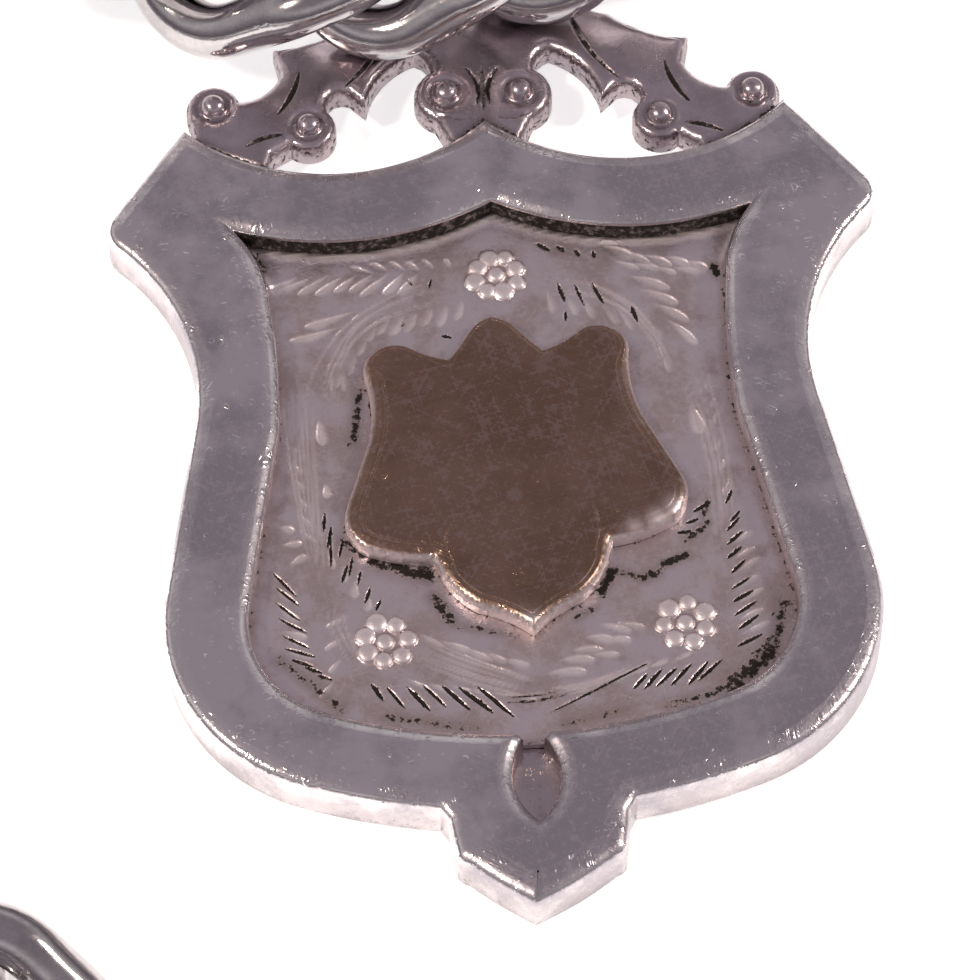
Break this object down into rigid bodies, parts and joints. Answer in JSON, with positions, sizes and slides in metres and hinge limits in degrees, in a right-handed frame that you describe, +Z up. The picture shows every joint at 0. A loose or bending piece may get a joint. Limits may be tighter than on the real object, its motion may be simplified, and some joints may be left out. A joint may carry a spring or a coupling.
{
  "type": "albert watch chain with shield fob",
  "caption": "Curb-link albert watch chain laid in loose loops, with a bar, a swivel clip and a shield-shaped silver fob with a shaped plate on its engraved field.",
  "frame": {"origin": "on the shield's centre line midway between the cusp of its top edge and the tip of its lobe, on the table under its back", "axes": "+X to the right across the shield, +Y from the lobe toward the crest, +Z up off the table"},
  "size_m": [0.1093, 0.0873, 0.0075],
  "materials": {
    "silver": "worn polished silver, tarnished in the recesses",
    "chain_silver": "polished silver wire with fine wear",
    "plate": "warm rose-brown metal, dull polish with fine scratches"
  },
  "bodies": {
    "root": {"fob": "silver", "cartouche": "plate", "jump_ring": "chain_silver", "link_01": "chain_silver", "link_02": "chain_silver", "link_03": "chain_silver", "link_04": "chain_silver", "link_05": "chain_silver", "link_06": "chain_silver", "link_07": "chain_silver", "link_08": "chain_silver", "link_09": "chain_silver", "link_10": "chain_silver", "link_11": "chain_silver", "link_12": "chain_silver", "link_13": "chain_silver", "link_14": "chain_silver", "link_15": "chain_silver", "link_16": "chain_silver", "link_17": "chain_silver", "link_18": "chain_silver", "link_19": "chain_silver", "link_20": "chain_silver", "link_21": "chain_silver", "link_22": "chain_silver", "link_23": "chain_silver", "link_24": "chain_silver", "link_25": "chain_silver", "link_26": "chain_silver", "link_27": "chain_silver", "link_28": "chain_silver", "link_29": "chain_silver", "link_30": "chain_silver", "link_31": "chain_silver", "link_32": "chain_silver", "link_33": "chain_silver", "link_34": "chain_silver", "link_35": "chain_silver", "link_36": "chain_silver", "link_37": "chain_silver", "link_38": "chain_silver", "link_39": "chain_silver", "link_40": "chain_silver", "link_41": "chain_silver", "link_42": "chain_silver", "bar_ring": "chain_silver", "t_bar": "chain_silver", "swivel_clip": "chain_silver"}
  },
  "joints": []
}
